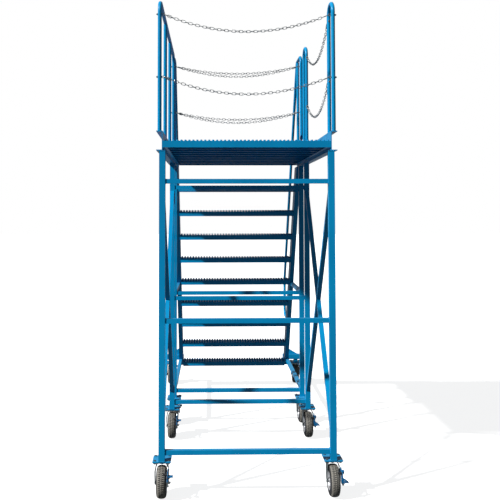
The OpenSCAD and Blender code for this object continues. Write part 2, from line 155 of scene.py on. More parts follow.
def lathe(profile, sides):
    """Closed (x, radius) outline turned about the X axis."""
    points = []
    for k in range(sides):
        a = 2 * math.pi * k / sides
        points += [Vector((x, r * math.sin(a), r * math.cos(a))) for x, r in profile]
    return points, walls(sides, len(profile), wrap=True)


def disc(x0, x1, radius, sides):
    """Round bar along the X axis with slightly broken edges."""
    edge = min(0.8, radius / 5, (x1 - x0) / 3)
    outline = [(x0, radius - edge), (x0 + edge, radius), (x1 - edge, radius), (x1, radius - edge)]
    points, faces = lathe(outline, sides)
    faces = [f for i, f in enumerate(faces) if i % 4 != 3]
    faces.append([k * 4 for k in range(sides)])
    faces.append([k * 4 + 3 for k in reversed(range(sides))])
    return points, faces


def prism(outline, thickness):
    """Flat outline in (y, z) given a thickness along +X."""
    n = len(outline)
    points = [Vector((x, y, z)) for x in (0, thickness) for y, z in outline]
    faces = [list(range(n)), [n + i for i in reversed(range(n))]]
    faces += [[i, n + i, n + (i + 1) % n, (i + 1) % n] for i in range(n)]
    return points, faces


def hexagon(across, thickness):
    """Nut or bolt head, measured across its flats."""
    r = across / 2 / math.cos(math.pi / 6)
    return prism([(r * math.cos(math.pi * k / 3), r * math.sin(math.pi * k / 3))
                  for k in range(6)], thickness)


def wire(path, radius, sides, closed=False):
    """Round wire along a list of points."""
    path = [Vector(p) for p in path]
    n = len(path)
    points, side = [], None
    for i, p in enumerate(path):
        before = path[(i - 1) % n] if closed or i else p
        after = path[(i + 1) % n] if closed or i < n - 1 else p
        ahead = (after - before).normalized()
        if side is None:
            side = ahead.orthogonal().normalized()
        side = (side - ahead * side.dot(ahead)).normalized()
        up = ahead.cross(side)
        for k in range(sides):
            a = 2 * math.pi * k / sides
            points.append(p + radius * (math.cos(a) * side + math.sin(a) * up))
    faces = walls(n, sides, wrap=closed)
    if not closed:
        faces.append(list(reversed(range(sides))))
        faces.append([(n - 1) * sides + k for k in range(sides)])
    return points, faces


def oval(length, width, steps=5):
    """Closed outline of a link in the XZ plane, lying along X."""
    r = width / 2
    half = length / 2 - r
    path = []
    for end, start in ((half, -90), (-half, 90)):
        for k in range(steps + 1):
            a = math.radians(start + 180 * k / steps)
            path.append((end + r * math.cos(a), 0, r * math.sin(a)))
    return path


def smooth_line(points, steps=3):
    """Rounded line through a list of plane points."""
    out = []
    for i in range(len(points) - 1):
        a, b = points[max(i - 1, 0)], points[i]
        c, d = points[i + 1], points[min(i + 2, len(points) - 1)]
        for k in range(steps):
            t = k / steps
            out.append(tuple(0.5 * (2 * q + (r - p) * t + (2 * p - 5 * q + 4 * r - s) * t * t
                                    + (3 * q - p - 3 * r + s) * t ** 3)
                             for p, q, r, s in zip(a, b, c, d)))
    return out + [points[-1]]


def in_scene(name, data):
    obj = bpy.data.objects.new(name, data)
    bpy.context.scene.collection.objects.link(obj)
    return obj


def softened(mesh, degrees):
    """Smooth shading, with an edge kept sharp where the faces turn by more than degrees."""
    mesh.shade_smooth()
    mesh.set_sharp_from_angle(angle=math.radians(degrees))


def solid_object(name, shape, material, smooth=35, bevel=0):
    """Mesh object from a shape in millimetres, welded and with its faces outward."""
    mesh = bpy.data.meshes.new(name)
    mesh.from_pydata([p * MM for p in map(Vector, shape[0])], [], shape[1])
    bm = bmesh.new()
    bm.from_mesh(mesh)
    bmesh.ops.remove_doubles(bm, verts=bm.verts, dist=0.00001)
    bmesh.ops.recalc_face_normals(bm, faces=bm.faces)
    if bevel:
        sharp = [e for e in bm.edges if len(e.link_faces) == 2 and e.calc_face_angle(0) > 0.7]
        bmesh.ops.bevel(bm, geom=sharp, offset=bevel * MM, segments=1, affect="EDGES",
                        clamp_overlap=True)
    bm.to_mesh(mesh)
    bm.free()
    softened(mesh, smooth)
    mesh.materials.append(material)
    return in_scene(name, mesh)


def settle(obj, body, instead_of=()):
    """Gives a finished piece its body, and hides the nodes it stands in for."""
    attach(obj, body)
    if instead_of:
        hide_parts(*instead_of)
    return obj


# ---------------------------------------------------------------- node trees

def add(tree, kind, feeds=None, **settings):
    """Adds a node with its settings; feeds maps an input to a value or to an output."""
    node = tree.nodes.new(kind)
    for key, value in settings.items():
        setattr(node, key, value)
    for key, value in (feeds or {}).items():
        if isinstance(value, bpy.types.NodeSocket):
            tree.links.new(value, node.inputs[key])
        else:
            node.inputs[key].default_value = value
    return node


def new_tree(name, inputs):
    """Geometry tree with its labelled inputs; gives the tree and what it is fed."""
    tree = bpy.data.node_groups.new(name, "GeometryNodeTree")
    tree.interface.new_socket("Geometry", in_out="OUTPUT", socket_type="NodeSocketGeometry")
    tree.interface.new_socket("Geometry", in_out="INPUT", socket_type="NodeSocketGeometry")
    for label, kind in inputs:
        tree.interface.new_socket(label, in_out="INPUT", socket_type="NodeSocket" + kind)
    return tree, add(tree, "NodeGroupInput").outputs


def end_tree(tree, instances, material, weld=0.0):
    """Turns the copies into plain mesh, paints them and sends them out."""
    real = add(tree, "GeometryNodeRealizeInstances", {0: instances}).outputs[0]
    if weld:
        real = add(tree, "GeometryNodeMergeByDistance",
                   {"Geometry": real, "Distance": weld}).outputs[0]
    painted = add(tree, "GeometryNodeSetMaterial", {"Geometry": real, "Material": material})
    add(tree, "NodeGroupOutput", {0: painted.outputs[0]})
    return tree


def rows_tree():
    """A cell repeated in columns and rows, and that field repeated with a step."""
    tree, given = new_tree("grip rows", [
        ("Columns", "Int"), ("Rows", "Int"), ("Column pitch", "Float"), ("Row pitch", "Float"),
        ("Repeats", "Int"), ("Step", "Vector"), ("Material", "Material")])
    sizes = []
    for count, pitch in (("Columns", "Column pitch"), ("Rows", "Row pitch")):
        gaps = add(tree, "ShaderNodeMath", {0: given[count], 1: 1.0}, operation="SUBTRACT")
        sizes.append(add(tree, "ShaderNodeMath", {0: gaps.outputs[0], 1: given[pitch]},
                         operation="MULTIPLY").outputs[0])
    grid = add(tree, "GeometryNodeMeshGrid", {"Size X": sizes[0], "Size Y": sizes[1],
               "Vertices X": given["Columns"], "Vertices Y": given["Rows"]})
    field = add(tree, "GeometryNodeInstanceOnPoints",
                {"Points": grid.outputs["Mesh"], "Instance": given["Geometry"]})
    line = add(tree, "GeometryNodeMeshLine",
               {"Count": given["Repeats"], "Offset": given["Step"]}, mode="OFFSET")
    fields = add(tree, "GeometryNodeInstanceOnPoints",
                 {"Points": line.outputs["Mesh"], "Instance": field.outputs[0]})
    return end_tree(tree, fields.outputs[0], given["Material"], weld=0.00005)


def ring_tree():
    """A shape repeated in a ring about the X axis."""
    tree, given = new_tree("ring round axle", [
        ("Count", "Int"), ("First angle", "Float"), ("Material", "Material")])
    spots = add(tree, "GeometryNodePoints", {"Count": given["Count"]})
    index = add(tree, "GeometryNodeInputIndex").outputs[0]
    part = add(tree, "ShaderNodeMath", {0: index, 1: given["Count"]}, operation="DIVIDE")
    turn = add(tree, "ShaderNodeMath",
               {0: part.outputs[0], 1: 2 * math.pi, 2: given["First angle"]},
               operation="MULTIPLY_ADD")
    euler = add(tree, "ShaderNodeCombineXYZ", {"X": turn.outputs[0]})
    ring = add(tree, "GeometryNodeInstanceOnPoints",
               {"Points": spots.outputs[0], "Instance": given["Geometry"],
                "Rotation": euler.outputs[0]})
    return end_tree(tree, ring.outputs[0], given["Material"])


def path_tree():
    """A shape set along every path at a pitch, each copy turned further about the path."""
    tree, given = new_tree("along paths", [
        ("Shape", "Object"), ("Pitch", "Float"), ("Turn", "Float"), ("Twist", "Float"),
        ("Seed", "Int"), ("Material", "Material")])
    curve = add(tree, "GeometryNodeMeshToCurve", {"Mesh": given["Geometry"]})
    spaced = add(tree, "GeometryNodeResampleCurve",
                 {"Curve": curve.outputs[0], "Length": given["Pitch"]}, mode="LENGTH")
    ahead = add(tree, "GeometryNodeInputTangent").outputs[0]
    along = add(tree, "FunctionNodeAlignRotationToVector", {"Vector": ahead}, axis="X")
    index = add(tree, "GeometryNodeInputIndex").outputs[0]
    least = add(tree, "ShaderNodeMath", {0: given["Twist"], 1: -1.0}, operation="MULTIPLY")
    loose = add(tree, "FunctionNodeRandomValue",
                {2: least.outputs[0], 3: given["Twist"], "Seed": given["Seed"]},
                data_type="FLOAT")
    turn = add(tree, "ShaderNodeMath", {0: index, 1: given["Turn"], 2: loose.outputs[1]},
               operation="MULTIPLY_ADD")
    about = add(tree, "FunctionNodeAxisAngleToRotation",
                {"Axis": (1.0, 0.0, 0.0), "Angle": turn.outputs[0]})
    both = add(tree, "FunctionNodeRotateRotation",
               {0: along.outputs[0], 1: about.outputs[0]}, rotation_space="LOCAL")
    shape = add(tree, "GeometryNodeObjectInfo", {"Object": given["Shape"]})
    copies = add(tree, "GeometryNodeInstanceOnPoints",
                 {"Points": spaced.outputs[0], "Instance": shape.outputs["Geometry"],
                  "Rotation": both.outputs[0]})
    return end_tree(tree, copies.outputs[0], given["Material"])


def grown(obj, tree, values, smooth=40):
    """Runs a tree on an object and keeps the result as its plain mesh."""
    names = {s.name: s.identifier for s in tree.interface.items_tree if s.in_out == "INPUT"}
    mod = obj.modifiers.new(tree.name, "NODES")
    mod.node_group = tree
    for label, value in values.items():
        mod[names[label]] = value
    seen = obj.evaluated_get(bpy.context.evaluated_depsgraph_get())
    mesh = bpy.data.meshes.new_from_object(seen)
    obj.modifiers.remove(mod)
    obj.data = mesh
    softened(mesh, smooth)
    return obj


def paths_object(name, paths):
    """Mesh of bare edges, one strip a path; a path is (points, closed)."""
    points, edges = [], []
    for path, closed in paths:
        first = len(points)
        points += [Vector(p) * MM for p in path]
        edges += [(i, i + 1) for i in range(first, len(points) - 1)]
        if closed:
            edges.append((len(points) - 1, first))
    mesh = bpy.data.meshes.new(name)
    mesh.from_pydata(points, edges, [])
    return in_scene(name, mesh)


# ---------------------------------------------------------------- materials

def colour(code):
    """sRGB hex to a linear colour."""
    parts = [int(code[i:i + 2], 16) / 255 for i in (1, 3, 5)]
    return tuple(c / 12.92 if c <= 0.04045 else ((c + 0.055) / 1.055) ** 2.4
                 for c in parts) + (1.0,)


def new_material(name):
    """Empty material, its tree and the place in the object that it is asked about."""
    material = bpy.data.materials.new(name)
    material.use_nodes = True
    tree = material.node_tree
    tree.nodes.clear()
    return material, tree, add(tree, "ShaderNodeTexCoord").outputs["Object"]


def noise(tree, where, size, detail=3.0, stretch=(1, 1, 1), rough=0.55):
    """Cloudy noise whose features are about size millimetres across."""
    placed = add(tree, "ShaderNodeMapping", {"Vector": where, "Scale": stretch}).outputs[0]
    return add(tree, "ShaderNodeTexNoise",
               {"Vector": placed, "Scale": 1000.0 / size, "Detail": detail,
                "Roughness": rough}).outputs["Fac"]


def span(tree, value, low, high, to_low=0.0, to_high=1.0):
    """Stretches the part of a value from low to high over to_low to to_high."""
    return add(tree, "ShaderNodeMapRange",
               {"Value": value, "From Min": low, "From Max": high,
                "To Min": to_low, "To Max": to_high}).outputs[0]


def times(tree, a, b):
    return add(tree, "ShaderNodeMath", {0: a, 1: b}, operation="MULTIPLY").outputs[0]


def blend(tree, amount, a, b):
    return add(tree, "ShaderNodeMix", {0: amount, 6: a, 7: b}, data_type="RGBA").outputs[2]


def close(tree, base, rough, height, depth, **fixed):
    """Principled shader, bump and output; fixed values go on the shader's own sockets."""
    bump = add(tree, "ShaderNodeBump",
               {"Height": height, "Strength": 1.0, "Distance": depth * MM}).outputs[0]
    feeds = {"Base Color": base, "Roughness": rough, "Normal": bump}
    feeds.update({key.replace("_", " "): value for key, value in fixed.items()})
    shader = add(tree, "ShaderNodeBsdfPrincipled", feeds)
    add(tree, "ShaderNodeOutputMaterial", {"Surface": shader.outputs[0]})


def upward(tree):
    """1 on faces that look up, 0 on the rest."""
    normal = add(tree, "ShaderNodeNewGeometry").outputs["Normal"]
    z = add(tree, "ShaderNodeSeparateXYZ", {0: normal}).outputs["Z"]
    return span(tree, z, 0.6, 0.95)


def sprayed_enamel():
    """Gloss blue enamel sprayed on steel: deep even colour with a faint orange peel,
    rain runs down its sides, dust where it faces up, and small scuffs."""
    material, tree, where = new_material("sprayed blue enamel")
    fade = noise(tree, where, 420, detail=2)
    base = blend(tree, span(tree, fade, 0.35, 0.65), colour("#007fb4"), colour("#0089bf"))
    runs = noise(tree, where, 24, detail=4, stretch=(1, 1, 0.04))
    base = blend(tree, span(tree, runs, 0.52, 0.72, 0.0, 0.22), base, colour("#0070a2"))
    scuffs = noise(tree, where, 9, detail=6, stretch=(1, 0.5, 0.5), rough=0.7)
    worn = span(tree, scuffs, 0.66, 0.73, 0.0, 0.55)
    base = blend(tree, worn, base, colour("#4d9dc4"))
    spots = add(tree, "ShaderNodeTexVoronoi",
                {"Vector": where, "Scale": 1000.0 / 60, "Randomness": 1.0}).outputs["Distance"]
    patches = span(tree, noise(tree, where, 160), 0.52, 0.60)
    chipped = times(tree, span(tree, spots, 0.035, 0.050, 1.0, 0.0), patches)
    base = blend(tree, chipped, base, colour("#3d4448"))
    dusty = times(tree, upward(tree), span(tree, noise(tree, where, 70), 0.30, 0.75, 0.04, 0.26))
    base = blend(tree, dusty, base, colour("#6f8e98"))
    peel = noise(tree, where, 6, detail=1)
    rough = add(tree, "ShaderNodeMath",
                {0: span(tree, runs, 0.3, 0.8, 0.26, 0.40), 1: span(tree, dusty, 0, 1, 0, 0.5)},
                operation="ADD").outputs[0]
    close(tree, base, rough, peel, 0.12, Specular_IOR_Level=0.2)
    return material


def rubbed_and_shaded_pedal_enamel():
    """The same enamel rubbed by boots, so it shows more steel, over a darker blue base that is painted shade."""
    material, tree, where = new_material("boot-rubbed blue enamel darkened as painted shade")
    rubbed = span(tree, noise(tree, where, 14, detail=5, rough=0.65), 0.56, 0.66)
    # painted shade: this blue is darker than the stand's own enamel, standing in for the shade the pedals sit in
    base = blend(tree, span(tree, noise(tree, where, 60), 0.3, 0.7),
                 colour("#005284"), colour("#006499"))
    base = blend(tree, rubbed, base, colour("#8ea0aa"))
    rough = span(tree, noise(tree, where, 20), 0.3, 0.7, 0.28, 0.46)
    close(tree, base, rough, rubbed, -0.15, Specular_IOR_Level=0.3)
    return material


def zinc_plate(name, bright, dull, size):
    """Weathered zinc plate on pressed steel: a soft metal shine broken by dull clouds and
    fine handling marks."""
    material, tree, where = new_material(name)
    clouds = noise(tree, where, size, detail=4)
    marks = noise(tree, where, 3, detail=5, stretch=(1, 0.15, 0.15), rough=0.7)
    base = blend(tree, span(tree, clouds, 0.38, 0.62), colour(bright), colour(dull))
    base = blend(tree, span(tree, marks, 0.60, 0.72, 0.0, 0.4), base, colour("#c9cdd0"))
    rough = span(tree, clouds, 0.3, 0.7, 0.28, 0.46)
    close(tree, base, rough, marks, 0.05, Metallic=0.8)
    return material


def rim_paint():
    """Silver paint on the pressed wheel: fine metal flake, road grime in the dish."""
    material, tree, where = new_material("silver wheel paint")
    flake = noise(tree, where, 2.5, detail=1)
    grime = noise(tree, where, 45, detail=5, rough=0.65)
    base = blend(tree, span(tree, flake, 0.4, 0.6), colour("#b9bcc2"), colour("#d3d5da"))
    base = blend(tree, span(tree, grime, 0.52, 0.68, 0.0, 0.8), base, colour("#5c5650"))
    rough = span(tree, grime, 0.4, 0.7, 0.34, 0.70)
    close(tree, base, rough, flake, 0.03, Metallic=0.6)
    return material


def tyre_rubber():
    """Moulded black rubber: matt dark sidewalls, tread greyed with dry road dust."""
    material, tree, where = new_material("moulded tyre rubber")
    tread = add(tree, "ShaderNodeAttribute", attribute_name="tread").outputs["Fac"]
    cloud = noise(tree, where, 28, detail=5, rough=0.65)
    grain = noise(tree, where, 1.6, detail=3)
    side = blend(tree, span(tree, cloud, 0.45, 0.7), colour("#1c1d20"), colour("#35363a"))
    dust = blend(tree, span(tree, cloud, 0.3, 0.7), colour("#706d66"), colour("#8b8881"))
    base = blend(tree, tread, side, dust)
    rough = span(tree, grain, 0.3, 0.7, 0.62, 0.86)
    close(tree, base, rough, grain, 0.25, Specular_IOR_Level=0.35)
    return material


enamel = sprayed_enamel()
rubbed_and_shaded_pedal_paint = rubbed_and_shaded_pedal_enamel()
zinc = zinc_plate("weathered zinc plate", "#8f9899", "#6b7475", 40)
chain_zinc = zinc_plate("dulled zinc chain", "#989d9f", "#6e7377", 18)
silver = rim_paint()
rubber = tyre_rubber()

rows, ring, along = rows_tree(), ring_tree(), path_tree()


# ---------------------------------------------------------------- grip planks and treads

def grip_cell(pitch_x, pitch_y):
    """One field of the sheet with its hole drawn up into a toothed collar.
    The teeth end at z = 0."""
    sides, notch, stretch = 8, 3.0, 1.15
    collar_foot, collar_top, mouth, hole = 10.4, 8.0, 6.0, 7.8
    ring_angles = [2 * math.pi * k / sides for k in range(sides)]
    sheet_top, sheet_under = -TOOTH, -TOOTH - SHEET

    def border(z):
        return [Vector((math.copysign(pitch_x / 2, c) if abs(c) > 0.1 else 0,
                        math.copysign(pitch_y / 2, s) if abs(s) > 0.1 else 0, z))
                for c, s in ((math.cos(a), math.sin(a)) for a in ring_angles)]

    def circle(r, heights):
        return [Vector((r * math.cos(a), stretch * r * math.sin(a), h))
                for a, h in zip(ring_angles, heights)]

    crest = [-notch * (k % 2) for k in range(sides)]
    rings = [border(sheet_top), circle(collar_foot, [sheet_top] * sides),
             circle(collar_top, crest), circle(mouth, [h - 0.6 for h in crest]),
             circle(hole, [sheet_under] * sides), border(sheet_under)]
    return [p for r in rings for p in r], walls(len(rings), sides)


def grip_top(name, low, high, rows_each, depth, repeats, step):
    """Toothed top of the planks or treads, with the middle of the first at the origin."""
    width = high.x - low.x
    columns = round(width / GRIP_PITCH)
    cell = solid_object(name, grip_cell(width / columns, depth / rows_each), enamel)
    grown(cell, rows, {
        "Columns": columns, "Rows": rows_each, "Column pitch": width / columns * MM,
        "Row pitch": depth / rows_each * MM, "Repeats": repeats,
        "Step": [s * MM for s in step], "Material": enamel})
    return cell


def pan_sides(low_x, high_x, y, depth, top, foot):
    """Front and rear lips with a folded hem, and end straps, of a plank or tread."""
    hem = 14
    sheet_z = top - TOOTH
    parts = [
        block((low_x, y, foot), (high_x, y + SHEET, sheet_z)),
        block((low_x, y + depth - SHEET, foot), (high_x, y + depth, sheet_z)),
        block((low_x, y + SHEET, foot), (high_x, y + hem, foot + SHEET)),
        block((low_x, y + depth - hem, foot), (high_x, y + depth - SHEET, foot + SHEET))]
    for x in (low_x, high_x - SHEET):
        parts.append(block((x, y + SHEET, foot + SHEET),
                           (x + SHEET, y + depth - SHEET, sheet_z - SHEET)))
    return joined(*parts)


plank_pitch = (deck_high.y - deck_low.y + PLANK_GAP) / PLANKS
plank_depth = plank_pitch - PLANK_GAP
planks = grip_top("grip_plank_tops", deck_low, deck_high, PLANK_ROWS, plank_depth, PLANKS,
                  (0, plank_pitch, 0))
planks.data.transform(Matrix.Translation(Vector(
    ((deck_low.x + deck_high.x) / 2, deck_low.y + plank_depth / 2,
     deck_high.z + DECK_PROUD)) * MM))
settle(planks, "stand", ["deck_planks"])
plank_sides = joined(*[pan_sides(deck_low.x, deck_high.x, deck_low.y + i * plank_pitch,
                                 plank_depth, deck_high.z + DECK_PROUD, deck_low.z)
                       for i in range(PLANKS)])
settle(solid_object("grip_plank_sides", plank_sides, enamel), "stand",
       ["deck_planks"])

run = (tread_high.y - tread_low.y - TREAD_DEPTH) / (TREADS - 1)
rise = (tread_high.z - tread_low.z - TREAD_HEIGHT) / (TREADS - 1)
treads = grip_top("grip_tread_tops", tread_low, tread_high, TREAD_ROWS, TREAD_DEPTH, TREADS,
                  (0, -run, rise))
treads.data.transform(Matrix.Translation(Vector(
    ((tread_low.x + tread_high.x) / 2, tread_high.y - TREAD_DEPTH / 2,
     tread_low.z + TREAD_HEIGHT + PROUD)) * MM))
settle(treads, "stand", ["stair_treads"])
tread_sides = joined(*[pan_sides(tread_low.x, tread_high.x,
                                 tread_high.y - TREAD_DEPTH - i * run, TREAD_DEPTH,
                                 tread_low.z + TREAD_HEIGHT + PROUD + i * rise,
                                 tread_low.z + i * rise)
                       for i in range(TREADS)])
settle(solid_object("grip_tread_sides", tread_sides, enamel), "stand",
       ["stair_treads"])


# ---------------------------------------------------------------- chains and fittings

fitting_low, fitting_high = box_mm("chain_hardware")
upper_eye_z = fitting_high.z - EYE_R - EYE_WIRE
lower_eye_z = fitting_low.z + EYE_R + EYE_WIRE
CHAIN_NODES = ("chains_front", "chains_side", "chains_rear")


def past_snap_link(points):
    """Where the chain begins after its snap link, and the index of the next point."""
    left, i = SNAP_LENGTH - SNAP_HOLD, 0
    while (points[i + 1] - points[i]).length < left:
        left -= (points[i + 1] - points[i]).length
        i += 1
    return points[i] + (points[i + 1] - points[i]).normalized() * left, i + 1


def sag_of(node):
    """How far a node's slackest chain hangs below its lower fixing height."""
    return lower_eye_z - CHAIN_R - box_mm(node)[0].z


left_rail_low, left_rail_high = box_mm("guardrail_left")
front_rail_y = left_rail_low.y + RAIL_R
rear_rail_y = left_rail_high.y - RAIL_R
side_front_y = box_mm("guardrail_front_right")[1].y - RAIL_R
side_rear_y = box_mm("guardrail_rear_right")[0].y + RAIL_R
hand_y = box_mm("handrail_right")[0].y + RAIL_R

front_left = Vector((-rail_x, front_rail_y, 0))
front_right = Vector((rail_x, front_rail_y, 0))
side_front = Vector((rail_x, side_front_y, 0))
side_rear = Vector((rail_x, side_rear_y, 0))
rear_left = Vector((-rail_x, rear_rail_y, 0))
rear_right = Vector((rail_x, hand_y, 0))

# each gate: the two rails it hangs from, its sags, and how far its chains stand aside
rear_sag = sag_of("chains_rear")
gates = [(front_left, front_right, [(sag_of("chains_front"), 0)]),
         (side_front, side_rear, [(sag_of("chains_side"), 0)]),
         (rear_left, rear_right, [(rear_sag, -CHAINS_ASIDE),
                                  (rear_sag * SHORTER_SAG, CHAINS_ASIDE)])]

reach = RAIL_R + EYE_OUT + EYE_R - EYE_HOLD
chain_paths, snaps, eyes = [], [], []
for start, finish, hangs in gates:
    way = (finish - start).normalized()
    aside = Vector((-way.y, way.x, 0))
    for height in (lower_eye_z, upper_eye_z):
        for rail, toward in ((start, way), (finish, -way)):
            eyes.append((rail + Vector((0, 0, height)), toward))
        for sag, offset in hangs:
            a = start + way * reach
            length = (finish - start).length - 2 * reach
            line = []
            for k in range(CHAIN_STEPS + 1):
                u = k / CHAIN_STEPS
                ease = min(1, 6 * min(u, 1 - u))     # it leaves each eye in line
                line.append(a + way * (length * u) + aside * (offset * ease)
                            + Vector((0, 0, height - 4 * sag * u * (1 - u))))
            first, i = past_snap_link(line)
            last, j = past_snap_link(line[::-1])
            chain_paths.append(([first] + line[i:len(line) - j] + [last], False))
            snaps += [(line[0], first), (line[-1], last)]

link_line = oval(LINK_PITCH + 4 * LINK_WIRE, LINK_WIDTH)
link = solid_object("link shape", wire(link_line, LINK_WIRE, 6, True), chain_zinc)
chains = paths_object("hanging_chains", chain_paths)
grown(chains, along, {"Shape": link, "Pitch": LINK_PITCH * MM, "Turn": math.pi / 2,
                      "Twist": 0.22, "Seed": 5, "Material": chain_zinc}, smooth=60)
settle(chains, "stand", CHAIN_NODES)


def eye_bolt():
    """Eye bolt through a rail, its eye toward +X: ring, shank, washers and lock nut."""
    ring_x = RAIL_R + EYE_OUT
    washer = 1.6
    loop = [(ring_x + EYE_R * math.cos(t), 0, EYE_R * math.sin(t))
            for t in (2 * math.pi * k / 16 for k in range(16))]
    return joined(wire(loop, EYE_WIRE - EYE_SLIM, 8, True),
                  disc(-RAIL_R - 12.5, ring_x - EYE_R, 3.6, 12),
                  disc(RAIL_R, RAIL_R + washer, 8.5, 16),
                  disc(-RAIL_R - washer, -RAIL_R, 8.5, 16),
                  shifted(hexagon(14, 7), -RAIL_R - 8.8, 0, 0))


def snap_link():
    """Long oval spring link along +X from its hook end, with its gate sleeve."""
    body = shifted(wire(oval(SNAP_LENGTH, SNAP_WIDTH, 6), 2.9, 8, True), SNAP_LENGTH / 2, 0, 0)
    sleeve = shifted(disc(-9, 9, 4.4, 10), SNAP_LENGTH / 2, 0, SNAP_WIDTH / 2)
    return joined(body, sleeve)


def aimed(place, toward):
    """Puts a shape made along +X at a place, pointing along a direction."""
    return Matrix.Translation(place) @ toward.to_track_quat("X", "Z").to_matrix().to_4x4()


parts = [moved(eye_bolt(), aimed(place, toward)) for place, toward in eyes]
for k, (hook, chain_end) in enumerate(snaps):
    roll = Matrix.Rotation(math.radians(90 + 12 * (k % 3 - 1)), 4, "X")
    parts.append(moved(snap_link(), aimed(hook, (chain_end - hook).normalized()) @ roll))
settle(solid_object("eye_bolts_and_snap_links", joined(*parts), zinc), "stand",
       ["chain_hardware"])


# ---------------------------------------------------------------- weld beads

def square_path(centre, half, axis):
    """Square outline about a centre, in the plane across an axis."""
    out = []
    for a, b in ((-1, -1), (1, -1), (1, 1), (-1, 1)):
        d = {"X": (0, a * half, b * half), "Z": (a * half, b * half, 0)}[axis]
        out.append(Vector(centre) + Vector(d))
    return out, True


def round_path(centre, radius):
    return [Vector(centre) + Vector((radius * math.cos(t), radius * math.sin(t), 0))
            for t in (2 * math.pi * k / 20 for k in range(20))], True


seams = []
half_tube = TUBE / 2
plate_top = box_mm("foot_plates")[1].z
channel_under = box_mm("side_channel_left")[0].z
frame_spots = []
for name in ("front_frame", "middle_frame", "rear_frame"):
    low, high = box_mm(name)
    frame_y = low.y + half_tube
    frame_spots.append(frame_y)
    for s in (-1, 1):
        post = s * (high.x - half_tube)
        seams.append(square_path((post, frame_y, plate_top + 1), half_tube + 0.5, "Z"))
        seams.append(square_path((post, frame_y, channel_under - 1), half_tube + 0.5, "Z"))
post_inner = box_mm("front_frame")[1].x - TUBE
for y in frame_spots:
    for z in CROSS_RAIL_FEET:
        for s in (-1, 1):
            seams.append(square_path((s * (post_inner - 1), y, z + CROSS_RAIL / 2),
                                     CROSS_RAIL / 2 + 0.5, "X"))
left_uprights = [front_rail_y + k * (rear_rail_y - front_rail_y) / 3 for k in range(4)]
right_uprights = [front_rail_y, side_front_y, side_rear_y,
                  box_mm("guardrail_rear_right")[1].y - RAIL_R, hand_y]
for s, uprights in ((-1, left_uprights), (1, right_uprights)):
    seams += [round_path((s * rail_x, y, channel_top + 1), RAIL_R + 0.6) for y in uprights]

bead = solid_object("bead shape", lathe([(-3.6, 0.2), (-1.8, 2.3), (1.8, 2.3), (3.6, 0.2)], 6),
                    enamel)
beads = paths_object("weld_beads", seams)
grown(beads, along, {"Shape": bead, "Pitch": BEAD_STEP * MM, "Turn": 0.0, "Twist": 0.5,
                     "Seed": 11, "Material": enamel}, smooth=60)
settle(beads, "stand")


# ---------------------------------------------------------------- casters

CASTERS = ("front_left", "front_right", "middle_left", "middle_right",
           "rear_left", "rear_right", "stair_left", "stair_right")
UPRIGHT = Matrix.Rotation(math.radians(-90), 4, "Y")     # turns +X to +Z

tyre_side = [(-30, 65.2), (-36.5, 70), (-40.3, 84), (-40.6, 97), (-37.5, 109), (-31, 116.5),
             (-SHOULDER_X, SHOULDER_R)]
tyre_line = smooth_line(tyre_side + [(0, CROWN_R)] + mirrored(tyre_side))


def tread_lug(side):
    """Shoulder block of the tread, from near the middle out over the shoulder."""
    stations = [(9, 125.8), (19, 125.0), (28, 121.6), (35, 115.6), (38.6, 107)]
    points = []
    for x, r in stations:
        for half, drop in ((4.0, 4.2), (3.3, 0), (-3.3, 0), (-4.0, 4.2)):
            points.append(Vector((side * (x - (drop * 0.6 if x > 30 else 0)), half, r - drop)))
    last = (len(stations) - 1) * 4
    return points, walls(len(stations), 4) + [[0, 1, 2, 3], [last + k for k in (3, 2, 1, 0)]]


def middle_lug():
    """Small block on the middle of the tread, set a little askew."""
    return moved(block((-6.5, -5.2, 121), (6.5, 5.2, 126.6)), Matrix.Rotation(0.06, 4, "Z"))


def ring_of(name, shape, count, first, material):
    """A shape repeated round the axle, the first one at an angle in radians."""
    return grown(solid_object(name, shape, material), ring,
                 {"Count": count, "First angle": first, "Material": material})


def merged(name, objects):
    """One mesh object out of several, which are then deleted."""
    bm = bmesh.new()
    for o in objects:
        bm.from_mesh(o.data)
    mesh = bpy.data.meshes.new(name)
    bm.to_mesh(mesh)
    bm.free()
    mesh.materials.append(objects[0].data.materials[0])
    for o in objects:
        bpy.data.objects.remove(o)
    return in_scene(name, mesh)


def tyre_master():
    """Carcass and tread blocks; what stands above the carcass there is marked as dusty."""
    step = math.pi / LUGS
    tyre = merged("tyre", [
        solid_object("carcass", lathe(tyre_line, 72), rubber, smooth=60),
        ring_of("lugs left", tread_lug(-1), LUGS, 0, rubber),
        ring_of("lugs right", tread_lug(1), LUGS, step, rubber),
        ring_of("lugs middle", middle_lug(), LUGS, step / 2, rubber)])
    dusted = tyre.data.attributes.new("tread", "FLOAT", "POINT")
    for v, value in zip(tyre.data.vertices, dusted.data):
        x, r = abs(v.co.x) / MM, math.hypot(v.co.y, v.co.z) / MM
        if x < SHOULDER_X:
            carcass = CROWN_R - 2.0 * (x / SHOULDER_X) ** 2
        else:
            carcass = SHOULDER_R - 0.95 * (x - SHOULDER_X)
        worn = min(1, max(0, (34.5 - x) / 5)) if r > 100 else 0
        value.value = worn * min(1, max(0, (r - carcass - 0.4) / 2.4))
    return tyre


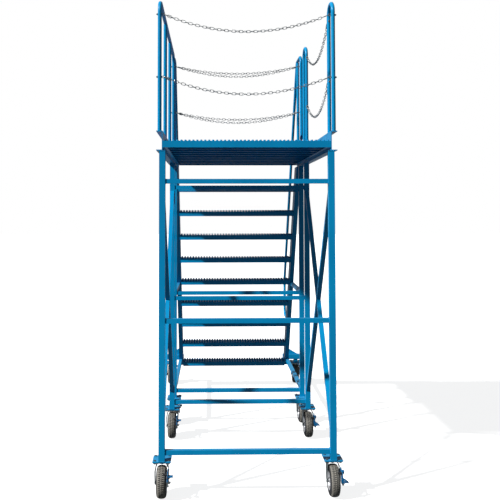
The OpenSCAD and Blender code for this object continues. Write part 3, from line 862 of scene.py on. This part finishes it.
def rim_master():
    """Two pressed halves bolted at the web: curled lips, deep dish, round hub."""
    outline = smooth_line([(8.5, 44), (8.5, 50), (13, 56), (28, 60), (34, 63.5), (38.5, 69),
                           (40.5, 73), (39.8, 75.5), (37.4, 74.5), (35.2, 70), (32, 66.2)], 3)
    back = [(24, 64.4), (-24, 64.4)]
    hub = [(-3.5, 43), (-3.5, 30), (-8, 23), (-14, 21), (-36, 20), (-42.5, 18.6), (-42.5, 9)]
    section = outline + back + mirrored(outline) + hub + mirrored(hub)
    body = solid_object("pressed halves", lathe(section, 48), silver)
    bolt = joined(shifted(hexagon(13, 6), 4, 0, 0), shifted(hexagon(13, 6), -10, 0, 0),
                  disc(10, 13, 4, 10))
    bolts = ring_of("wheel bolts", shifted(bolt, 0, 0, 35), 5, 0.3, silver)
    valve = solid_object("valve stem", wire([(9, 0, 57), (24, 0, 52), (33, 0, 50)], 3.2, 8),
                         silver)
    return merged("rim", [body, bolts, valve])


def ribbon(stations, thickness):
    """Pressed strip through stations (x, z, y from, y to), crowned across its width."""
    points = []
    crown_top = 2.4
    across = [(0, 0), (0.12, 1.6), (0.3, crown_top), (0.7, crown_top), (0.88, 1.6), (1, 0)]
    n = 2 * len(across)
    for i, (x, z, y0, y1) in enumerate(stations):
        a, b = stations[max(i - 1, 0)], stations[min(i + 1, len(stations) - 1)]
        ahead = Vector((b[0] - a[0], 0, b[1] - a[1])).normalized()
        out = Vector((-ahead.z, 0, ahead.x))
        for line, inset in ((across, crown_top), (across[::-1], crown_top + thickness)):
            for t, crown in line:
                points.append(Vector((x, y0 + t * (y1 - y0), z)) + out * (crown - inset))
    last = (len(stations) - 1) * n
    ends = [list(range(n)), [last + k for k in reversed(range(n))]]
    return points, walls(len(stations), n) + ends


def fork_shape():
    """Bowed fork pressed from one strip, with the axle, its nuts and the brake pin."""
    leg = [(47.6, 105, 41, 49), (48.0, 109, 33, 57), (48.3, 117, 28, 62),
           (48.6, 127, 27, 63), (49.2, 150, 24, 62), (49.9, 180, 20, 62), (49.4, 206, 14, 66),
           (48.4, 218, 8, 72), (46.8, 230, 0, 72), (43.5, 243, -8, 58), (38.5, 254, -16, 44),
           (32, 262.5, -24, 34), (24, 267.5, -30, 30), (12, 269.4, -32, 30)]
    axle_y, axle_z = 45, 127
    pin_y, pin_z = 62, 228
    axle = shifted(disc(-58, 58, 7.6, 16), 0, axle_y, axle_z)
    nuts = [shifted(hexagon(23, 8), x, axle_y, axle_z) for x in (50.6, -58.6)]
    washers = [shifted(disc(x, x + 1.8, 14, 20), 0, axle_y, axle_z) for x in (49.0, -50.8)]
    spacers = [shifted(disc(x, x + 2.4, 13, 16), 0, axle_y, axle_z) for x in (42.6, -45)]
    pin = shifted(disc(44, 62, 4.9, 12), 0, pin_y, pin_z)
    head = shifted(hexagon(16, 5), 57.6, pin_y, pin_z)
    cone = moved(disc(262.5, 270.4, 26, 24), UPRIGHT)
    return joined(ribbon(leg + mirrored(leg), 6.0), axle, *nuts, *washers, *spacers, pin, head,
                  cone)


def facing(outline, y, thickness):
    """Flat plate from an (x, z) outline, facing front, from y over its thickness."""
    turned = Matrix(((0, 1, 0, 0), (1, 0, 0, y), (0, 0, 1, 0), (0, 0, 0, 1)))
    return moved(prism(outline, thickness), turned)


def brake_shapes(foot_out):
    """Painted lever and rocker, plated bolt and toe, and rubber shoe; foot_out is a rocker
    trodden to its foot side, the other is one lifted by its toe side."""
    arm_x, bolt_y, bolt_z = 51.2, 152, 134
    foot_pad = block((0, 132, -3), (36, 175, 2))
    arm = shifted(prism([(50, 217), (74, 214), (128, 208), (131, 196), (131, 142), (136, 138),
                         (144, 142), (151, 190), (160, 199), (167, 204), (168, 224), (163, 230),
                         (74, 240), (58, 241), (50, 236)], 5.6), arm_x, 0, 0)
    shoe = shifted(disc(18, arm_x, 8, 14), 0, 150.5, 222)
    bolt = joined(shifted(hexagon(15, 8), 53, bolt_y, bolt_z),
                  shifted(disc(50, 66, 4.2, 12), 0, bolt_y, bolt_z))
    if foot_out:
        rocker = facing([(44, 240), (50, 244), (63, 243), (68, 238), (69, 222), (63, 214),
                         (58, 204), (59, 190), (66, 178), (73, 173), (103, 151), (103, 143),
                         (75, 141), (66, 132), (50, 130), (44, 140)], 138, 10)
        pad = moved(foot_pad, Matrix.Translation((73, 0, 172))
                    @ Matrix.Rotation(math.radians(36), 4, "Y"))
        tab = block((44, 134, 240), (67, 170, 244))
        return joined(arm, rocker, pad, tab), bolt, shoe
    rocker = facing([(44, 166), (51, 158), (60, 172), (68, 188), (77, 197), (90, 200), (97, 206),
                     (96, 213), (84, 215), (62, 213), (58, 203), (50, 184)], 138, 10)
    pad = moved(foot_pad, Matrix.Translation((61, 0, 212))
                @ Matrix.Rotation(math.radians(4), 4, "Y"))
    toe = facing([(44, 160), (52, 164), (62, 160), (73, 163), (79, 158), (74, 150), (62, 148),
                  (54, 142), (52, 128), (49, 114), (44, 114)], 137, 10)
    toe_pad = moved(block((0, 134, -2), (24, 172, 2)), Matrix.Translation((54, 0, 160))
                    @ Matrix.Rotation(math.radians(-4), 4, "Y"))
    return joined(arm, rocker, pad), joined(bolt, toe, toe_pad), shoe


def placed_copy(master, name, matrix, smooth):
    """Copy of a finished mesh put in place, with its faces turned outward again."""
    mesh = master.data.copy()
    mesh.transform(matrix)
    bm = bmesh.new()
    bm.from_mesh(mesh)
    bmesh.ops.recalc_face_normals(bm, faces=bm.faces)
    bm.to_mesh(mesh)
    bm.free()
    softened(mesh, smooth)
    return in_scene(name, mesh)


tyre0, rim0 = tyre_master(), rim_master()
fork0 = solid_object("fork", fork_shape(), zinc, bevel=0.5)
brakes0 = {}
for foot_out in (False, True):
    painted, plated, shoe = brake_shapes(foot_out)
    brakes0[foot_out] = (solid_object("brake lever", painted, rubbed_and_shaded_pedal_paint, bevel=0.9),
                         solid_object("brake toe", plated, zinc),
                         solid_object("brake shoe", shoe, rubber))
race0 = solid_object("race", moved(joined(
    lathe([(270.9, 20), (270.9, 30), (273, 33.5), (276, 34.5), (278.5, 31), (278.5, 20)], 32),
    lathe([(272.6, 33), (272.6, 35.6), (274.8, 35.6), (274.8, 33)], 32)),
    UPRIGHT), zinc)

for key in CASTERS:
    swivel = Vector(joints["swivel_" + key]["pos_m"])
    axle = Vector(joints["roll_" + key]["pos_m"])
    way = 1 if axle.y > swivel.y else -1
    stand_on = Matrix.Translation((swivel.x, swivel.y, 0)) @ Matrix.Diagonal((1, way, 1, 1))
    rolling = Matrix.Translation(axle) @ Matrix.Rotation(random.uniform(0, 6.28), 4, "X")
    lever0, toe0, shoe0 = brakes0[key.endswith("right")]
    for master, piece, where, smooth, body, slot, node in (
            (tyre0, "tyre_", rolling, 38, "wheel_", "tyre_rubber", "tyre_"),
            (rim0, "rim_", rolling, 35, "wheel_", "rim_silver", "rim_"),
            (fork0, "fork_", stand_on, 35, "caster_", "zinc_plate", "fork_"),
            (lever0, "brake_lever_", stand_on, 35, "pedal_", "blue_enamel", "brake_"),
            (toe0, "brake_toe_", stand_on, 35, "pedal_", "zinc_plate", "brake_"),
            (shoe0, "brake_shoe_", stand_on, 35, "pedal_", "tyre_rubber", "brake_")):
        settle(placed_copy(master, piece + key, where, smooth), body + key, [node + key])
    settle(placed_copy(race0, "race_" + key, stand_on, 35), "stand")

spares = [link, bead, tyre0, rim0, fork0, race0]
for brake in brakes0.values():
    spares += brake
for spare in spares:
    bpy.data.objects.remove(spare)


# ---------------------------------------------------------------- carried-over steel

slot_finish = {"blue_enamel": enamel, "zinc_plate": zinc, "rim_silver": silver,
               "tyre_rubber": rubber}
for part in frame["record"]["subparts"]:
    steel = nodes[part["node"]]
    steel.data.materials.clear()
    steel.data.materials.append(slot_finish[part["material_slot"]])


# ---------------------------------------------------------------- floor, light, camera

def matt(name, shade, darker, glow):
    """Pale painted floor that shows only a soft, light shadow."""
    material, tree, where = new_material(name)
    tone = blend(tree, span(tree, noise(tree, where, 900), 0.3, 0.7), colour(shade),
                 colour(darker))
    surface = add(tree, "ShaderNodeBsdfDiffuse", {"Color": tone, "Roughness": 1.0})
    lamp = add(tree, "ShaderNodeEmission", {"Color": (1, 1, 1, 1), "Strength": glow})
    both = add(tree, "ShaderNodeAddShader", {0: surface.outputs[0], 1: lamp.outputs[0]})
    add(tree, "ShaderNodeOutputMaterial", {"Surface": both.outputs[0]})
    return material


FLOOR_REACH = 60000
floor_corners = [Vector((x, y, 0)) * FLOOR_REACH for x, y in ((-1, -1), (1, -1), (1, 1), (-1, 1))]
floor = solid_object("floor", (floor_corners, [[0, 1, 2, 3]]),
                     matt("pale floor", "#a9aaab", "#9a9b9c", 0.86))
floor.visible_diffuse = False
floor.visible_glossy = False

world = bpy.data.worlds.new("studio")
bpy.context.scene.world = world
world.use_nodes = True
sky = world.node_tree
sky.nodes.clear()
rays = add(sky, "ShaderNodeLightPath").outputs
backdrop = add(sky, "ShaderNodeBackground", {"Color": (1, 1, 1, 1), "Strength": 1.0})
mirrored = add(sky, "ShaderNodeBackground", {"Color": (0.92, 0.96, 1, 1), "Strength": 0.30})
fill = add(sky, "ShaderNodeBackground", {"Color": (0.82, 0.92, 1, 1), "Strength": 0.14})
unseen = add(sky, "ShaderNodeMixShader", {0: rays["Is Diffuse Ray"], 1: mirrored.outputs[0],
                                          2: fill.outputs[0]})
air = add(sky, "ShaderNodeMixShader", {0: rays["Is Camera Ray"], 1: unseen.outputs[0],
                                       2: backdrop.outputs[0]})
add(sky, "ShaderNodeOutputWorld", {"Surface": air.outputs[0]})

key_light = bpy.data.lights.new("key", "SUN")
key_light.energy = 6.3
key_light.angle = math.radians(2.5)
key_light.color = (1.0, 0.985, 0.96)
lamp = in_scene("key", key_light)
KEY_HEIGHT, KEY_TURN = math.radians(41), math.radians(27)
to_light = Vector((-math.cos(KEY_HEIGHT) * math.cos(KEY_TURN),
                   -math.cos(KEY_HEIGHT) * math.sin(KEY_TURN), math.sin(KEY_HEIGHT)))
lamp.rotation_mode = "QUATERNION"
lamp.rotation_quaternion = to_light.to_track_quat("Z", "Y")

# metres and degrees; the camera stands before the front edge of the deck
CAMERA_SIDE, CAMERA_BACK, CAMERA_UP = -0.2946, 5.4314, 2.3197
CAMERA_PAN, CAMERA_TILT, CAMERA_ROLL = -1.032, 2.262, 0.083

lens = bpy.data.cameras.new("camera")
lens.lens = 47.55
lens.sensor_width = 36
lens.shift_x, lens.shift_y = 0.0535, -0.1296
camera = in_scene("camera", lens)
camera.matrix_world = (
    Matrix.Translation((CAMERA_SIDE, front_y * MM - CAMERA_BACK, CAMERA_UP))
    @ Matrix.Rotation(math.radians(CAMERA_PAN), 4, "Z")
    @ Matrix.Rotation(math.radians(CAMERA_TILT), 4, "X")
    @ Matrix.Rotation(math.radians(CAMERA_ROLL), 4, "Y")
    @ Matrix.Rotation(math.radians(90), 4, "X"))
bpy.context.scene.camera = camera
bpy.context.scene.view_settings.view_transform = "Standard"

bpy.context.view_layer.update()
